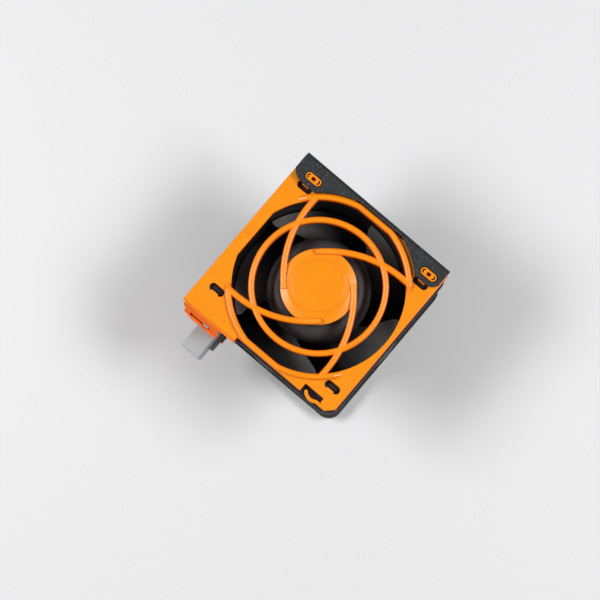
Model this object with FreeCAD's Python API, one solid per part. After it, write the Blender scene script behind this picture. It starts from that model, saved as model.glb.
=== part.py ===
import FreeCAD, Part
import math
import os

# Server fan module: a 60 mm axial fan with its guard, carrier, damping pad and plug.
# Frame of reference: origin on the rotor axis at the rear (exhaust) face, +Z towards the guard.
# The plug sticks out on -Y, the damping pad lies along +Y.  All sizes in millimetres.

# Fan frame
frame_w = 60.0
frame_d = 38.0
frame_corner_r = 4.7
flange_t = 4.0
bore_r = 28.4
barrel_wall = 1.3
inlet_r = 29.3
inlet_flare_d = 5.5
fix_pitch = 50.0
fix_hole_r = 2.15
base_r = 17.0
base_t = 2.2
boss_r = 6.4
boss_top = 3.6
vane_count = 8
vane_t = 1.2
vane_h = 6.3
vane_bow = 2.6
base_edge_r = 0.8

# Leads and their channel in the rear strut
lead_r = 0.5
lead_pitch = 1.15
lead_count = 4
channel_angle = -126.0
channel_w = 4.9
channel_wall = 0.8
channel_floor = 2.3
channel_top = 5.2
tunnel_top = 3.5
lead_z = 2.9
lead_inner_r = 12.6
lead_drop_r = 30.45
lead_straight = 0.6
lead_bends = (3.0, 2.6, 1.9)

# Label on the motor base
label_r = 14.6
label_t = 0.2

# Shaft, sleeve and bearings
shaft_r = 1.5
shaft_bottom = 1.1
bearing_w = 4.0
bearing_outer_r = 4.0
race_outer_bore = 3.3
race_inner_r = 2.3
ball_r = 0.75
ball_play = 0.03
ball_count = 7
cage_t = 0.7
shield_t = 0.15
shield_inset = 0.15
rear_bearing_z = 3.0
front_bearing_z = 26.0
sleeve_wall = 0.8
sleeve_bottom = 0.8
sleeve_bore = 3.6
clip_groove_r = 1.1
clip_r = 2.4
clip_t = 0.4
clip_z = 2.2
clip_gap_w = 1.6
fit_gap = 0.03

# Stator
core_bottom = 9.0
core_h = 14.0
core_r = 13.1
core_hub_r = 7.0
pole_count = 4
pole_w = 4.6
shoe_t = 1.8
shoe_gap_angle = 12.0
insulator_t = 0.8
insulator_rim = 0.35
coil_t = 1.5
coil_play = 0.1
collar_r = 6.0

# Circuit board under the stator
board_r = 14.7
board_t = 1.0
hall_size = (3.0, 1.6, 1.2)
chip_size = (5.0, 4.0, 1.5)
resistor_size = (1.6, 0.8, 0.5)
resistor_count = 6
capacitor_r = 1.6
capacitor_h = 1.6

# Rotor
hub_r = 17.0
hub_wall = 1.15
hub_bottom = 5.0
hub_top = 34.6
hub_shoulder_r = 4.6
hub_cap_t = 1.6
yoke_t = 0.8
yoke_bottom = 6.0
yoke_shoulder_r = 2.8
magnet_t = 1.4
magnet_bottom = 7.6
magnet_h = 16.6
bush_r = 3.2
bush_lip = 1.1
spring_r = 2.2
spring_t = 0.25

# Blades
blade_count = 5
blade_tip_gap = 0.5
blade_front_z = 26.9
blade_rear_z = 8.6
blade_tip_angle = 20.3
blade_sweep = 24.2
blade_sweep_power = 1.48
blade_crest_gap = 1.6
blade_tip_round = 0.6
blade_trail_root = -62.0
blade_trail_tip = -50.0
blade_t = 1.5
blade_edge_t = 0.5
blade_root_sink = 0.6
rotor_gap = 0.5

# Guard and carrier moulding
isolator_t = 0.8
plate_t = 1.6
plate_over_left = 0.6
plate_inset_right = 0.55
plate_inset_bottom = 0.85
plate_inset_top = 1.05
plate_corner_over = 0.6
plate_edge_r = 0.4
corner_chamfer = 2.6
opening_r = 27.9
opening_flat_x = 26.5
opening_flat_y = 27.3
bead_r = 28.85
bead_flat_y = 28.15
bead_w = 1.9
bead_rise = 1.15
bead_end_right = 40.0
bead_end_left = 138.0
bead_melt_angle = 5.0
bead_melt_rise = 0.12
ring_r = 21.45
ring_w = 1.9
rib_w = 1.95
rib_rise = 1.1
rib_foot = 1.5
bar_crown = 0.47
rib_arc_r = 36.55
rib_count = 4
rib_start_r = 11.2
rib_start_angle = 126.45
rib_end_angle = 41.12
disc_r = 12.25
disc_rim_top = -0.35
disc_face_r = 10.05
disc_top = 0.45
groove_r = 8.63
groove_w = 1.13
groove_d = 0.2
groove_slope_w = 0.3
slot_inset_x = 0.9
slot_inset_y = 3.3
slot_l = 5.6
slot_w = 2.7
slot_notch_l = 2.6
slot_notch_bottom = 0.45
slot_notch_top = 1.1
mark_r = 1.15
mark_d = 0.1
mark_inset = 1.6
mark_y = -0.3

# Pad pegs on the guard
peg_inset_left = 6.6
peg_inset_right = 5.6
peg_inset_top = 4.7
peg_l = 5.8
peg_w = 2.5
peg_drop = 0.2
peg_well_l = 1.45
peg_well_w = 1.15
peg_well_depth = 1.6
peg_crescent_r = 0.82
peg_crescent_w = 0.48
peg_gap = 0.3

# Spring locating finger at the (+X, -Y) corner
finger_inset_right = 4.55
finger_inset_bottom = 0.6
finger_knuckle_r = 0.58
finger_play = 0.03
finger_relief = 0.15
finger_w = 1.1
finger_neck_l = 1.9
finger_tip_l = 6.35
finger_tip_rise = 0.5
finger_crest_l = 4.0
finger_bow = 0.65
finger_slot_l = 8.05
finger_slot_gap = 0.6
finger_slot_d = 2.35

# Connector bay at the (-X, -Y) corner
bay_wall = 1.0
skirt_l = 21.4
skirt_over = 1.15
skirt_drop = 4.4
tower_inset = 0.1
tower_l = 15.4
tower_over = 3.95
tower_corner_l = 2.4
tower_corner_y = 0.7
tower_heel_l = 5.0
tower_heel_y = 0.45
tower_slope_over = 0.5
tower_slope_drop = 2.4
strip_w = 1.15
strip_drop = 3.2
window_inset = 4.8
window_l = 7.35
window_w = 0.3
window_eye = 0.8
slit_depth = 3.0
scallop_r = 0.55
scallop_d = 0.45
scallop_shares = (0.235, 0.72)
cradle_t = 1.1
cradle_side = 1.15
lip_h = 2.2
lip_w = 0.4
lip_over = 3.5

# Plug body
plug_inset = 7.75
plug_w = 6.9
plug_reach = 12.4
plug_tail = 1.0
plug_top = 31.0
plug_h = 8.5
plug_foot_h = 1.6
plug_foot_w = 1.35
plug_foot_reach = 7.4
plug_edge = 0.35
plug_seat = 0.2
latch_w = 2.2
latch_t = 0.65
cavity_w = 2.0
cavity_depth = 9.5
cavity_pitch_x = 2.9
cavity_pitch_z = 3.5
terminal_w = 1.7
terminal_wall = 0.25
terminal_inset = 0.6

# Damping pad
pad_t = 1.9
pad_over_left = 0.3
pad_inset_right = 0.95
pad_reach_left = 1.1
pad_reach_right = 0.4
pad_step_w = 0.9
pad_step_h = 0.8
pad_lip_gap = 0.3
pad_bead_gap = 0.15
pad_arc_gap_left = 0.3
pad_arc_gap_right = 1.0
pad_left_lobe = ((-6.2, -1.75), (-4.7, -2.7), (-2.2, -3.1), (1.9, -3.1), (3.2, -3.0))
pad_right_lobe = ((-2.9, -2.95), (-1.2, -2.95), (1.6, -2.95), (3.1, -2.5), (4.0, -1.7))
pad_lobe_side = 0.6

# Isolators between the frame corners and the guard
isolator_half_w = 3.7
isolator_neck_r = 2.1
isolator_bulb_r = 2.8
isolator_bulb_h = 2.6
isolator_tail_r = 1.3
isolator_tail_h = 3.2
isolator_tongue_w = 1.2
isolator_tongue_l = 3.8
isolator_tongue_drop = 1.3
isolator_corner_r = 1.6

plate_bottom = frame_d + isolator_t
plate_top = plate_bottom + plate_t
fix_half = fix_pitch / 2
half_w = frame_w / 2
plate_x0 = -half_w - plate_over_left
plate_x1 = half_w - plate_inset_right
plate_y0 = plate_inset_bottom - half_w
plate_y1 = half_w - plate_inset_top
plate_left_corner_y = -half_w - plate_corner_over
slot_x = fix_half - slot_inset_x
slot_y = fix_half - slot_inset_y
peg_left_x = peg_inset_left - half_w
peg_right_x = half_w - peg_inset_right
peg_y = half_w - peg_inset_top
finger_pivot_x = plate_x1 - finger_inset_right
finger_pivot_y = plate_y0 + finger_inset_bottom
skirt_x1 = plate_x0 + skirt_l
skirt_y = -half_w - skirt_over
tower_x0 = plate_x0 + tower_inset
tower_x1 = tower_x0 + tower_l
tower_y = -half_w - tower_over
latch_line_y = tower_y + strip_w
window_x0 = tower_x0 + window_inset
window_x1 = window_x0 + window_l
plug_x0 = tower_x0 + plug_inset
plug_x1 = plug_x0 + plug_w
plug_y0 = -half_w - plug_reach
plug_y1 = plug_tail - half_w
pad_left_x = -half_w - pad_over_left
pad_right_x = half_w - pad_inset_right
pad_left_y = half_w + pad_reach_left
pad_right_y = half_w + pad_reach_right
shoulder_z = hub_top - hub_cap_t
rotor_bore_r = hub_r - hub_wall
sleeve_r = bearing_outer_r + sleeve_wall
sleeve_top = front_bearing_z + bearing_w
core_top = core_bottom + core_h
ball_pitch_r = (race_outer_bore + race_inner_r) / 2
OVER = 1.0


def vec(x, y, z=0.0):
    return FreeCAD.Vector(x, y, z)


def cylinder(radius, z0, z1, x=0.0, y=0.0):
    return Part.makeCylinder(radius, z1 - z0, vec(x, y, z0))


def ring(outer, inner, z0, z1):
    return cylinder(outer, z0, z1).cut(cylinder(inner, z0 - OVER, z1 + OVER))


def block(x0, x1, y0, y1, z0, z1):
    return Part.makeBox(x1 - x0, y1 - y0, z1 - z0, vec(x0, y0, z0))


def polygon(points):
    corners = [vec(*point) for point in points]
    return Part.makePolygon(corners + corners[:1])


def prism(points, z0, z1):
    outline = [(x, y, z0) for x, y in points]
    return Part.Face(polygon(outline)).extrude(vec(0, 0, z1 - z0))


def revolve(points):
    """Solid of revolution about Z from (radius, z) points."""
    profile = Part.Face(polygon([(r, 0, z) for r, z in points]))
    return profile.revolve(vec(0, 0), vec(0, 0, 1), 360)


def obround(x, y, length, width, z0, z1):
    half = (length - width) / 2
    middle = block(x - half, x + half, y - width / 2, y + width / 2, z0, z1)
    ends = [cylinder(width / 2, z0, z1, x + side * half, y) for side in (-1, 1)]
    return middle.multiFuse(ends).removeSplitter()


def polar(radius, degrees):
    return radius * math.cos(math.radians(degrees)), radius * math.sin(math.radians(degrees))


def turned(shape, degrees):
    copy = shape.copy()
    copy.rotate(vec(0, 0), vec(0, 0, 1), degrees)
    return copy


def around(shape, count, first=0.0):
    return [turned(shape, first + 360.0 * k / count) for k in range(count)]


def fused(shapes):
    return shapes[0].multiFuse(shapes[1:]).removeSplitter()


def edges_where(shape, test):
    return [edge for edge in shape.Edges if test(edge.BoundBox)]


def rounded_square(width, corner, z0, z1):
    half = width / 2
    shape = block(-half, half, -half, half, z0, z1)
    upright = edges_where(shape, lambda box: box.ZLength > (z1 - z0) / 2)
    return shape.makeFillet(corner, upright)


def save(name, shape):
    shape.exportStep("parts/" + name + ".step")
    print(name, len(shape.Solids), "solid(s)", round(shape.Volume, 2), "mm3", shape.isValid())


def corner_places():
    return [(sx * fix_half, sy * fix_half) for sx in (-1, 1) for sy in (-1, 1)]


# ---------------------------------------------------------------- fan frame
def inlet_cut():
    """Bell mouth: the bore opens to the inlet radius along a quarter of an ellipse."""
    steps = 6
    points = [(0.0, frame_d + OVER), (inlet_r, frame_d + OVER)]
    for k in range(steps + 1):
        turn = math.radians(90.0 * k / steps)
        radius = inlet_r - (inlet_r - bore_r) * math.sin(turn)
        height = frame_d - inlet_flare_d * (1 - math.cos(turn))
        points.append((radius, height))
    points.append((0.0, frame_d - inlet_flare_d))
    return revolve(points)


def vane():
    """One exhaust vane: a bowed wall from the motor base to the barrel."""
    r0 = base_r - OVER
    r1 = bore_r + barrel_wall / 2
    mid = (r0 + r1) / 2
    half = vane_t / 2
    outer = Part.Arc(vec(r0, half), vec(mid, half + vane_bow), vec(r1, half)).toShape()
    inner = Part.Arc(vec(r1, -half), vec(mid, vane_bow - half), vec(r0, -half)).toShape()
    end = Part.makeLine(vec(r1, half), vec(r1, -half))
    start = Part.makeLine(vec(r0, -half), vec(r0, half))
    return Part.Face(Part.Wire([outer, end, inner, start])).extrude(vec(0, 0, vane_h))


def lead_strut():
    half = channel_w / 2 + channel_wall
    strut = block(base_r - OVER, bore_r + barrel_wall / 2, -half, half, 0.0, flange_t)
    return turned(strut, channel_angle)


def lead_channel():
    """Space for the leads: a tunnel inside the strut and a notch through the barrel's wall."""
    half = channel_w / 2
    reach = lead_drop_r + lead_r + lead_pitch
    tunnel = block(lead_inner_r - OVER, reach, -half, half, channel_floor, tunnel_top)
    notch = block(bore_r, reach, -half, half, channel_floor, channel_top)
    return turned(tunnel.fuse(notch), channel_angle)


def fan_frame():
    barrel = ring(bore_r + barrel_wall, bore_r, 0.0, frame_d)
    rear = rounded_square(frame_w, frame_corner_r, 0.0, flange_t)
    front = rounded_square(frame_w, frame_corner_r, frame_d - flange_t, frame_d)
    flanges = [flange.cut(cylinder(bore_r, -OVER, frame_d + OVER)) for flange in (rear, front)]
    shape = fused([barrel] + flanges)
    shape = shape.cut(inlet_cut())
    base = cylinder(base_r, 0.0, base_t)
    top_rim = edges_where(base, lambda box: box.ZMin > base_t / 2)
    base = base.makeFillet(base_edge_r, top_rim)
    boss = cylinder(boss_r, 0.0, boss_top)
    vanes = around(vane(), vane_count, channel_angle)[1:]
    shape = fused([shape, base, boss, lead_strut()] + vanes)
    holes = [cylinder(fix_hole_r, -OVER, frame_d + OVER, x, y) for x, y in corner_places()]
    sleeve_hole = cylinder(sleeve_r + fit_gap, -OVER, boss_top + OVER)
    label_recess = cylinder(label_r + fit_gap, -OVER, label_t)
    rotor_space = cylinder(hub_r + rotor_gap, hub_bottom - rotor_gap, frame_d + OVER)
    shape = shape.cut(sleeve_hole).cut(label_recess).cut(lead_channel()).cut(rotor_space)
    for hole in holes:
        shape = shape.cut(hole)
    return shape


# ---------------------------------------------------------------- leads
def cavity_centre(column, row):
    middle_x = (plug_x0 + plug_x1) / 2
    middle_z = plug_top - plug_h / 2
    return middle_x + (column - 0.5) * cavity_pitch_x, middle_z + (0.5 - row) * cavity_pitch_z


def lead_path(index):
    """Route of one lead: out of the plug, down outside the barrel, in along the strut."""
    x, z = cavity_centre(index // 2, index % 2)
    inward = polar(1.0, channel_angle)
    across = (-inward[1], inward[0])
    offset = (index - (lead_count - 1) / 2) * lead_pitch
    drop = [lead_drop_r * inward[k] + offset * across[k] for k in (0, 1)]
    inner = [lead_inner_r * inward[k] + offset * across[k] for k in (0, 1)]
    start_y = plug_y0 + cavity_depth + fit_gap
    return [(x, start_y, z), (x, plug_y1 + lead_straight, z), (drop[0], drop[1], z),
            (drop[0], drop[1], lead_z), (inner[0], inner[1], lead_z)]


def corner_arc(before, corner, after, radius):
    """Tangent arc at a corner; returns its start, middle and end."""
    back = (before - corner).normalize()
    ahead = (after - corner).normalize()
    half_angle = back.getAngle(ahead) / 2
    reach = radius / math.tan(half_angle)
    bisector = (back + ahead).normalize()
    centre = corner + bisector * (radius / math.sin(half_angle))
    middle = centre - bisector * radius
    return corner + back * reach, middle, corner + ahead * reach


def tube_along(route, radius, bends):
    points = [vec(*point) for point in route]
    edges = []
    last = points[0]
    for k in range(1, len(points) - 1):
        start, middle, end = corner_arc(points[k - 1], points[k], points[k + 1], bends[k - 1])
        edges.append(Part.LineSegment(last, start).toShape())
        edges.append(Part.Arc(start, middle, end).toShape())
        last = end
    edges.append(Part.LineSegment(last, points[-1]).toShape())
    spine = Part.Wire(edges)
    profile = Part.Wire(Part.makeCircle(radius, points[0], points[1] - points[0]))
    return spine.makePipeShell([profile], True, False)


# ---------------------------------------------------------------- bearings and shaft
def groove(z):
    return Part.makeTorus(ball_pitch_r, ball_r + ball_play, vec(0, 0, z))


def bearing_parts(z0):
    middle = z0 + bearing_w / 2
    outer = ring(bearing_outer_r, race_outer_bore, z0, z0 + bearing_w).cut(groove(middle))
    inner = ring(race_inner_r, shaft_r + fit_gap / 2, z0, z0 + bearing_w).cut(groove(middle))
    ball = Part.makeSphere(ball_r, vec(ball_pitch_r, 0, middle))
    balls = Part.makeCompound(around(ball, ball_count))
    pocket = Part.makeSphere(ball_r + ball_play, vec(ball_pitch_r, 0, middle))
    play = (race_outer_bore - race_inner_r) / 4
    cage = ring(race_outer_bore - play, race_inner_r + play, middle - cage_t, middle + cage_t)
    for cut in around(pocket, ball_count):
        cage = cage.cut(cut)
    shields = []
    for low in (z0 + shield_inset, z0 + bearing_w - shield_inset - shield_t):
        shields.append(ring(race_outer_bore - fit_gap / 2, race_inner_r + shield_t, low, low + shield_t))
    return outer, inner, balls, cage, Part.makeCompound(shields)


def bearing_sleeve():
    tube = cylinder(sleeve_r, sleeve_bottom, sleeve_top)
    through = cylinder(sleeve_bore, sleeve_bottom - OVER, sleeve_top + OVER)
    rear_seat = cylinder(bearing_outer_r + fit_gap / 2, sleeve_bottom - OVER, rear_bearing_z + bearing_w)
    front_seat = cylinder(bearing_outer_r + fit_gap / 2, front_bearing_z, sleeve_top + OVER)
    return tube.cut(through).cut(rear_seat).cut(front_seat)


def shaft():
    rod = cylinder(shaft_r, shaft_bottom, shoulder_z)
    neck = ring(shaft_r + OVER, clip_groove_r, clip_z - fit_gap, clip_z + clip_t + fit_gap)
    return rod.cut(neck)


def shaft_clip():
    clip = ring(clip_r, clip_groove_r, clip_z, clip_z + clip_t)
    return clip.cut(block(0.0, clip_r + OVER, -clip_gap_w / 2, clip_gap_w / 2, clip_z - OVER, clip_z + OVER))


# ---------------------------------------------------------------- stator
def pole_outline(grow, z0, z1):
    """Stator lamination shape: hub, poles and shoes, grown by an even margin."""
    hub = cylinder(core_hub_r + grow, z0, z1)
    half = pole_w / 2 + grow
    pole = block(0.0, core_r - shoe_t / 2, -half, half, z0, z1)
    shoe = ring(core_r, core_r - shoe_t, z0, z1)
    gap_half = shoe_gap_angle / 2
    for k in range(pole_count):
        middle = 360.0 / pole_count * (k + 0.5)
        low = polar(core_r + OVER, middle - gap_half)
        high = polar(core_r + OVER, middle + gap_half)
        shoe = shoe.cut(prism([(0.0, 0.0), low, high], z0 - OVER, z1 + OVER))
    return fused([hub] + around(pole, pole_count) + shoe.Solids)


def stator_core():
    return pole_outline(0.0, core_bottom, core_top).cut(cylinder(sleeve_r + fit_gap, 0.0, frame_d))


def insulator(front):
    if front:
        z0, z1 = core_top, core_top + insulator_t
        shape = pole_outline(insulator_rim, z0, z1)
    else:
        z0, z1 = core_bottom - insulator_t, core_bottom
        collar = cylinder(collar_r, boss_top + board_t, z0)
        shape = fused([pole_outline(insulator_rim, z0, z1), collar])
    return shape.cut(cylinder(sleeve_r + fit_gap, 0.0, frame_d))


def coils():
    """One racetrack winding round each pole, between the hub and the shoe."""
    x0 = core_hub_r + insulator_rim + coil_play
    half = pole_w / 2 + insulator_rim + coil_play
    x1 = math.sqrt((core_r - shoe_t) ** 2 - (half + coil_t) ** 2) - coil_play
    z0 = core_bottom - insulator_t - coil_play
    z1 = core_top + insulator_t + coil_play
    outer = block(x0, x1, -half - coil_t, half + coil_t, z0 - coil_t, z1 + coil_t)
    along = edges_where(outer, lambda box: box.XLength > (x1 - x0) / 2)
    outer = outer.makeFillet(coil_t * 0.9, along)
    window = block(x0 - OVER, x1 + OVER, -half, half, z0, z1)
    return Part.makeCompound(around(outer.cut(window), pole_count))


def board():
    disc = cylinder(board_r, boss_top, boss_top + board_t)
    return disc.cut(cylinder(sleeve_r + fit_gap, 0.0, frame_d))


def board_part(size, radius, degrees):
    top = boss_top + board_t
    body = block(radius - size[1] / 2, radius + size[1] / 2, -size[0] / 2, size[0] / 2, top, top + size[2])
    return turned(body, degrees)


def capacitor():
    x, y = polar(board_r - capacitor_r * 2, 225.0)
    top = boss_top + board_t
    return cylinder(capacitor_r, top, top + capacitor_h, x, y)


def resistors():
    radius = board_r - resistor_size[0]
    step = 11.0
    first = 70.0
    parts = [board_part(resistor_size, radius, first + step * k) for k in range(resistor_count)]
    return Part.makeCompound(parts)


# ---------------------------------------------------------------- rotor
def hub_cup():
    outer = cylinder(hub_r, hub_bottom, hub_top)
    rim = edges_where(outer, lambda box: box.ZMin > hub_top - OVER)
    outer = outer.makeFillet(hub_shoulder_r, rim)
    pocket = cylinder(rotor_bore_r, hub_bottom - OVER, shoulder_z)
    rim = edges_where(pocket, lambda box: box.ZMin > shoulder_z - OVER)
    return outer.cut(pocket.makeFillet(yoke_shoulder_r, rim))


def lead_edge_angle(radius):
    """Forward-swept leading edge, rounded back at the tip."""
    crest_r = bore_r - blade_crest_gap
    if radius > crest_r:
        return blade_tip_angle - blade_tip_round * (radius - crest_r) ** 2
    share = (crest_r - radius) / (crest_r - hub_r)
    return blade_tip_angle - blade_sweep * share ** blade_sweep_power


def blade_point(radius, along, side):
    """Point on a blade: along runs from the leading edge to the trailing edge, side is 1 or -1."""
    out = (radius - hub_r) / (bore_r - hub_r)
    trail = blade_trail_root + (blade_trail_tip - blade_trail_root) * out
    lead = lead_edge_angle(radius)
    x, y = polar(radius, lead + (trail - lead) * along)
    drop = (blade_front_z - blade_rear_z) * (0.7 * along + 0.3 * along * along)
    fat = blade_edge_t + (blade_t - blade_edge_t) * math.sin(math.pi * along)
    return vec(x, y, blade_front_z - drop + side * fat / 2)


def blade_surface(side):
    low = rotor_bore_r
    high = bore_r + blade_tip_gap
    spans = 8
    chords = 7
    grid = []
    for i in range(spans + 1):
        radius = low + (high - low) * i / spans
        grid.append([blade_point(radius, j / chords, side) for j in range(chords + 1)])
    surface = Part.BSplineSurface()
    surface.interpolate(grid)
    return surface


def blade():
    """Solid between the two blade surfaces, trimmed to the hub and to the tip radius."""
    top = blade_surface(1)
    bottom = blade_surface(-1)
    u0, u1, v0, v1 = top.bounds()
    faces = [top.toShape(), bottom.toShape()]
    for u in (u0, u1):
        faces.append(Part.makeRuledSurface(top.uIso(u).toShape(), bottom.uIso(u).toShape()))
    for v in (v0, v1):
        faces.append(Part.makeRuledSurface(top.vIso(v).toShape(), bottom.vIso(v).toShape()))
    shell = Part.Shell(faces)
    shell.sewShape()
    solid = Part.Solid(shell)
    if solid.Volume < 0:
        solid.reverse()
    return solid.common(ring(bore_r - blade_tip_gap, rotor_bore_r + blade_root_sink, 0.0, frame_d))


def impeller():
    hub = hub_cup()
    shape = hub.multiFuse(around(blade(), blade_count))
    seat = cylinder(bush_r + fit_gap / 2, 0.0, shoulder_z + OVER / 2)
    return shape.cut(seat)


def rotor_yoke():
    outer_r = rotor_bore_r - fit_gap
    top = shoulder_z - fit_gap
    outer = cylinder(outer_r, yoke_bottom, top)
    rim = edges_where(outer, lambda box: box.ZMin > top - OVER)
    outer = outer.makeFillet(yoke_shoulder_r, rim)
    inner = cylinder(outer_r - yoke_t, yoke_bottom - OVER, top - yoke_t)
    rim = edges_where(inner, lambda box: box.ZMin > top - yoke_t - OVER)
    inner = inner.makeFillet(yoke_shoulder_r - yoke_t, rim)
    return outer.cut(inner).cut(cylinder(bush_r + fit_gap / 2, 0.0, frame_d))


def rotor_magnet():
    outer_r = rotor_bore_r - yoke_t - 2 * fit_gap
    return ring(outer_r, outer_r - magnet_t, magnet_bottom, magnet_bottom + magnet_h)


def hub_bush():
    bottom = shoulder_z - yoke_t - bush_lip
    return ring(bush_r, shaft_r + fit_gap / 2, bottom, shoulder_z)


def preload_spring():
    """Coned washer between the front bearing's inner ring and the bush."""
    low = sleeve_top
    high = shoulder_z - yoke_t - bush_lip
    bore = shaft_r + fit_gap
    return revolve([(bore, low), (bore + spring_t, low), (spring_r + spring_t, high - spring_t),
                    (spring_r + spring_t, high), (spring_r, high), (bore, low + spring_t)])


# ---------------------------------------------------------------- guard and carrier
def bar_section(width, rise, radius):
    """Rib section standing at a radius on +X: flat foot, upright sides, round top."""
    return Part.Face(bar_outline(width, rise, radius))


def bar_outline(width, rise, radius):
    half = width / 2
    shoulder = plate_top + rise - bar_crown
    left = vec(radius - half, 0, shoulder)
    right = vec(radius + half, 0, shoulder)
    crown = Part.Arc(left, vec(radius, 0, plate_top + rise), right).toShape()
    foot_left = vec(radius - half, 0, plate_bottom)
    foot_right = vec(radius + half, 0, plate_bottom)
    sides = [Part.makeLine(right, foot_right), Part.makeLine(foot_right, foot_left),
             Part.makeLine(foot_left, left)]
    return Part.Wire([crown] + sides)


def bar_arc(width, rise, radius, start, sweep):
    face = turned(bar_section(width, rise, radius), start)
    return face.revolve(vec(0, 0), vec(0, 0, 1), sweep)


def bar_straight(width, rise, y, x0, x1):
    face = turned(bar_section(width, rise, abs(y)), math.copysign(90.0, y))
    face.translate(vec(x0, 0))
    return face.extrude(vec(x1 - x0, 0))


def bead_joint(degrees):
    """Round joint where a bead turns from its arc to its flat."""
    x, y = polar(bead_r, degrees)
    half = bead_w / 2
    top = plate_top + bead_rise
    crown_r = (half ** 2 + bar_crown ** 2) / (2 * bar_crown)
    cap = Part.makeSphere(crown_r, vec(x, y, top - crown_r))
    cap = cap.common(block(x - crown_r, x + crown_r, y - crown_r, y + crown_r, top - bar_crown, top))
    return cylinder(half, plate_bottom, top - bar_crown, x, y).fuse(cap)


def bead_melt(degrees, onward):
    """End of a bead, running down into the plate."""
    high = turned(bar_outline(bead_w, bead_rise, bead_r), degrees)
    low = turned(bar_outline(bead_w, bead_melt_rise, bead_r), degrees + onward)
    return Part.makeLoft([high, low], True, True)


def bead_pieces():
    flat_half = math.sqrt(bead_r ** 2 - bead_flat_y ** 2)
    flat_angle = math.degrees(math.asin(bead_flat_y / bead_r))
    pieces = []
    for side in (1, -1):
        right_sweep = side * (flat_angle - bead_end_right)
        right = bar_arc(bead_w, bead_rise, bead_r, side * bead_end_right, right_sweep)
        start = 180.0 - flat_angle
        left = bar_arc(bead_w, bead_rise, bead_r, side * start, side * (bead_end_left - start))
        flat = bar_straight(bead_w, bead_rise, side * bead_flat_y, -flat_half, flat_half)
        pieces += [right, left, flat]
        pieces += [bead_joint(side * flat_angle), bead_joint(side * (180.0 - flat_angle))]
        pieces.append(bead_melt(side * bead_end_right, -side * bead_melt_angle))
        pieces.append(bead_melt(side * bead_end_left, side * bead_melt_angle))
    return pieces


def rib_centre():
    """Centre of the circle through both ends of a rib, on the right of its chord."""
    start = vec(*polar(rib_start_r, rib_start_angle))
    end = vec(*polar(bead_r, rib_end_angle))
    chord = end - start
    across = vec(chord.y, -chord.x).normalize()
    return (start + end) / 2 + across * math.sqrt(rib_arc_r ** 2 - (chord.Length / 2) ** 2)


def heading(centre, radius, degrees):
    """Direction from a centre to a polar point about the fan axis."""
    x, y = polar(radius, degrees)
    return math.degrees(math.atan2(y - centre.y, x - centre.x))


def spiral_rib():
    """One spiral rib, an arc about a centre off the fan axis, from its foot on the disc to the bead."""
    centre = rib_centre()
    start = heading(centre, rib_start_r, rib_start_angle)
    sweep = heading(centre, bead_r, rib_end_angle) - start
    foot = math.copysign(math.degrees(rib_foot / rib_arc_r), sweep)
    bar = bar_arc(rib_w, rib_rise, rib_arc_r, start - foot, sweep + foot)
    bar.translate(centre)
    return bar


def plate_outline():
    step_x = skirt_x1
    return [(plate_x0 + plate_edge_r, plate_left_corner_y), (step_x, plate_left_corner_y), (step_x, plate_y0),
            (plate_x1 - corner_chamfer, plate_y0), (plate_x1, plate_y0 + corner_chamfer),
            (plate_x1, plate_y1), (plate_x0, plate_y1),
            (plate_x0, plate_left_corner_y + plate_edge_r)]


def opening():
    disc = cylinder(opening_r, plate_bottom - OVER, plate_top + OVER)
    window = block(-opening_flat_x, opening_r + OVER, -opening_flat_y, opening_flat_y,
                   plate_bottom - OVER, plate_top + OVER)
    return disc.common(window)


def tooth_depth(y):
    return slot_notch_top if y > 0 else slot_notch_bottom


def isolator_slot(x, y):
    """Obround slot with a small tooth on the side away from the opening."""
    slot = obround(x, y, slot_l, slot_w, plate_bottom - OVER, plate_top + OVER)
    edge = y + math.copysign(slot_w / 2, y)
    low, high = sorted((edge, edge - math.copysign(tooth_depth(y), y)))
    half = slot_notch_l / 2
    return slot.cut(block(x - half, x + half, low, high, plate_bottom - OVER, plate_top + OVER))


def guard_plate():
    plate = prism(plate_outline(), plate_bottom, plate_top)
    rim = edges_where(plate, lambda box: box.ZMin > plate_top - plate_edge_r)
    plate = plate.makeFillet(plate_edge_r, rim)
    plate = plate.cut(opening())
    for sx in (-1, 1):
        for sy in (-1, 1):
            plate = plate.cut(isolator_slot(sx * slot_x, sy * slot_y))
    mark = ring(mark_r, mark_r - mark_d * 2, plate_top - mark_d, plate_top + OVER)
    mark.translate(vec(mark_inset - half_w, mark_y))
    return plate.cut(mark)


def hub_disc():
    rim = plate_top + disc_rim_top
    face = plate_top + disc_top
    floor = face - groove_d
    inner = groove_r - groove_w / 2
    outer = groove_r + groove_w / 2
    return revolve([(0.0, plate_bottom), (disc_r, plate_bottom), (disc_r, rim), (disc_face_r, face),
                    (outer, face), (outer - groove_slope_w, floor), (inner + groove_slope_w, floor),
                    (inner, face), (0.0, face)])


def finger_space():
    """Cut in the plate's edge: the slot behind the finger and the finger's own place."""
    edge = plate_y0 - OVER
    z0, z1 = plate_bottom - OVER, plate_top + OVER
    x0 = finger_pivot_x - finger_slot_l
    x1 = finger_pivot_x - finger_slot_gap
    slot = block(x0, x1, edge, finger_pivot_y + finger_slot_d, z0, z1)
    socket = cylinder(finger_knuckle_r + finger_play, z0, z1, finger_pivot_x, finger_pivot_y)
    inner = finger_pivot_y + finger_w / 2 + finger_relief
    relief = block(x1 - OVER, finger_pivot_x, edge, inner, z0, z1)
    return slot.fuse(socket).fuse(relief)


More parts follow.
